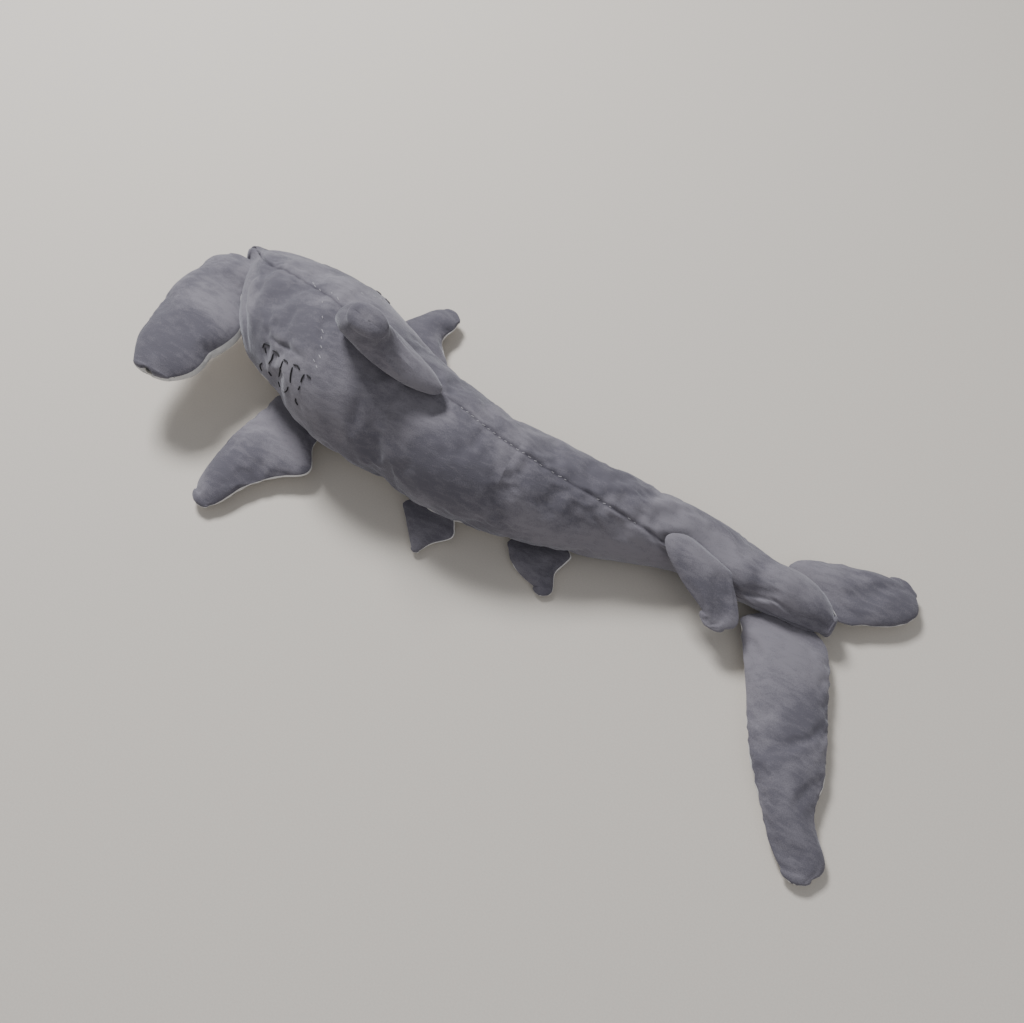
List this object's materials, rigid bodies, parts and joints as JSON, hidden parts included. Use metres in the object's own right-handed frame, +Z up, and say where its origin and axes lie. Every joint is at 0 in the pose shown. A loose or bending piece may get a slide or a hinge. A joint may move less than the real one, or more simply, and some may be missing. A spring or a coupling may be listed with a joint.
{
  "type": "plush hammerhead shark",
  "caption": "Stuffed plush hammerhead shark lying limp on its belly, with bending neck, waist and tail, liftable hammer lobes and flopping fins.",
  "frame": {"origin": "on the floor, under the middle of the whole outline as the shark lies at rest", "axes": "+Z up; head towards -X, tail towards +X; the shark's left side towards -Y"},
  "size_m": [0.5966, 0.2736, 0.1451],
  "materials": {
    "grey_plush": "matte",
    "white_plush": "matte",
    "stuffing": "matte",
    "dark_thread": "satin",
    "pale_thread": "satin",
    "eye_plastic": "gloss",
    "washer_plastic": "matte"
  },
  "bodies": {
    "front_body": {"front_back_panel_left": "grey_plush", "front_back_panel_right": "grey_plush", "front_belly_panel": "white_plush", "front_stuffing": "stuffing", "gill_stitches_left": "dark_thread", "gill_stitches_right": "dark_thread", "back_seam_stitches_front": "pale_thread", "neck_seam_stitches": "pale_thread"},
    "head": {"head_top_panel": "grey_plush", "head_under_panel": "white_plush", "head_stuffing": "stuffing", "mouth_stitches": "dark_thread"},
    "hammer_lobe_left": {"hammer_left_top": "grey_plush", "hammer_left_under": "white_plush", "hammer_left_stuffing": "stuffing", "eye_left": "eye_plastic", "eye_washer_left": "washer_plastic"},
    "hammer_lobe_right": {"hammer_right_top": "grey_plush", "hammer_right_under": "white_plush", "hammer_right_stuffing": "stuffing", "eye_right": "eye_plastic", "eye_washer_right": "washer_plastic"},
    "rear_body": {"rear_back_panel_left": "grey_plush", "rear_back_panel_right": "grey_plush", "rear_belly_panel": "white_plush", "rear_stuffing": "stuffing", "back_seam_stitches_rear": "pale_thread", "closing_seam_stitches": "pale_thread"},
    "tail": {"tail_back_panel_left": "grey_plush", "tail_back_panel_right": "grey_plush", "tail_belly_panel": "white_plush", "tail_stuffing": "stuffing", "back_seam_stitches_tail": "pale_thread"},
    "pectoral_fin_left": {"pectoral_left_top": "grey_plush", "pectoral_left_under": "white_plush", "pectoral_left_stuffing": "stuffing"},
    "pectoral_fin_right": {"pectoral_right_top": "grey_plush", "pectoral_right_under": "white_plush", "pectoral_right_stuffing": "stuffing"},
    "first_dorsal_fin": {"first_dorsal_right_face": "grey_plush", "first_dorsal_left_face": "grey_plush", "first_dorsal_stuffing": "stuffing"},
    "pelvic_fin_left": {"pelvic_left_top": "grey_plush", "pelvic_left_under": "white_plush"},
    "pelvic_fin_right": {"pelvic_right_top": "grey_plush", "pelvic_right_under": "white_plush"},
    "anal_fin": {"anal_fin_top": "grey_plush", "anal_fin_under": "white_plush"},
    "second_dorsal_fin": {"second_dorsal_right_face": "grey_plush", "second_dorsal_left_face": "grey_plush"},
    "caudal_lobe_upper": {"caudal_upper_top": "grey_plush", "caudal_upper_under": "white_plush", "caudal_upper_stuffing": "stuffing"},
    "caudal_lobe_lower": {"caudal_lower_top": "grey_plush", "caudal_lower_under": "white_plush", "caudal_lower_stuffing": "stuffing"}
  },
  "joints": [
    {"name": "neck_bend", "type": "hinge", "parent": "front_body", "child": "head", "pos_m": [-0.1809, 0.0423, 0.04861], "axis": [0, 0, 1], "range_deg": [-8, 18], "stiffness_Nm_per_rad": 1.5},
    {"name": "waist_bend", "type": "hinge", "parent": "front_body", "child": "rear_body", "pos_m": [-0.0609, 0.00634, 0.04332], "axis": [0, 0, 1], "range_deg": [-18, 18], "stiffness_Nm_per_rad": 1.5},
    {"name": "tail_bend", "type": "hinge", "parent": "rear_body", "child": "tail", "pos_m": [0.0931, 0.02215, 0.02709], "axis": [0, 0, 1], "range_deg": [-20, 20], "stiffness_Nm_per_rad": 0.8},
    {"name": "hammer_left_lift", "type": "hinge", "parent": "head", "child": "hammer_lobe_left", "pos_m": [-0.2549, 0.0445, 0.049], "axis": [-0.5277, 0.8494, 0], "range_deg": [-20, 30], "stiffness_Nm_per_rad": 0.8},
    {"name": "hammer_right_lift", "type": "hinge", "parent": "head", "child": "hammer_lobe_right", "pos_m": [-0.2449, 0.0967, 0.036], "axis": [1, 0, 0], "range_deg": [0, 55], "stiffness_Nm_per_rad": 0.6},
    {"name": "pectoral_left_flop", "type": "hinge", "parent": "front_body", "child": "pectoral_fin_left", "pos_m": [-0.1592, -0.0153, 0.017], "axis": [-0.9292, 0.3697, 0], "range_deg": [0, 45], "stiffness_Nm_per_rad": 0.4},
    {"name": "pectoral_right_flop", "type": "hinge", "parent": "front_body", "child": "pectoral_fin_right", "pos_m": [-0.1256, 0.0713, 0.017], "axis": [0.9446, -0.3281, 0], "range_deg": [0, 45], "stiffness_Nm_per_rad": 0.4},
    {"name": "first_dorsal_flop", "type": "hinge", "parent": "front_body", "child": "first_dorsal_fin", "pos_m": [-0.0879, 0.0225, 0.0985], "axis": [-0.9753, 0.1294, 0.1791], "range_deg": [0, 50], "stiffness_Nm_per_rad": 0.4},
    {"name": "pelvic_left_flop", "type": "hinge", "parent": "rear_body", "child": "pelvic_fin_left", "pos_m": [-0.0359, -0.035, 0.011], "axis": [-1, 0, 0], "range_deg": [0, 45], "stiffness_Nm_per_rad": 0.1},
    {"name": "pelvic_right_flop", "type": "hinge", "parent": "rear_body", "child": "pelvic_fin_right", "pos_m": [-0.0359, 0.0415, 0.011], "axis": [0.9988, -0.0499, 0], "range_deg": [0, 45], "stiffness_Nm_per_rad": 0.1},
    {"name": "anal_flop", "type": "hinge", "parent": "rear_body", "child": "anal_fin", "pos_m": [0.0458, -0.0185, 0.007], "axis": [-0.9684, -0.2496, 0], "range_deg": [0, 45], "stiffness_Nm_per_rad": 0.1},
    {"name": "second_dorsal_flop", "type": "hinge", "parent": "tail", "child": "second_dorsal_fin", "pos_m": [0.1506, 0.0145, 0.045], "axis": [-0.9629, 0.1805, 0.2006], "range_deg": [0, 60], "stiffness_Nm_per_rad": 0.1},
    {"name": "caudal_upper_flop", "type": "hinge", "parent": "tail", "child": "caudal_lobe_upper", "pos_m": [0.2176, 0.0025, 0.0125], "axis": [-0.99, -0.14, 0.02], "range_deg": [0, 50], "stiffness_Nm_per_rad": 0.6},
    {"name": "caudal_lower_flop", "type": "hinge", "parent": "tail", "child": "caudal_lobe_lower", "pos_m": [0.2251, 0.045, 0.012], "axis": [0.9598, -0.2799, -0.02], "range_deg": [0, 50], "stiffness_Nm_per_rad": 0.3}
  ]
}
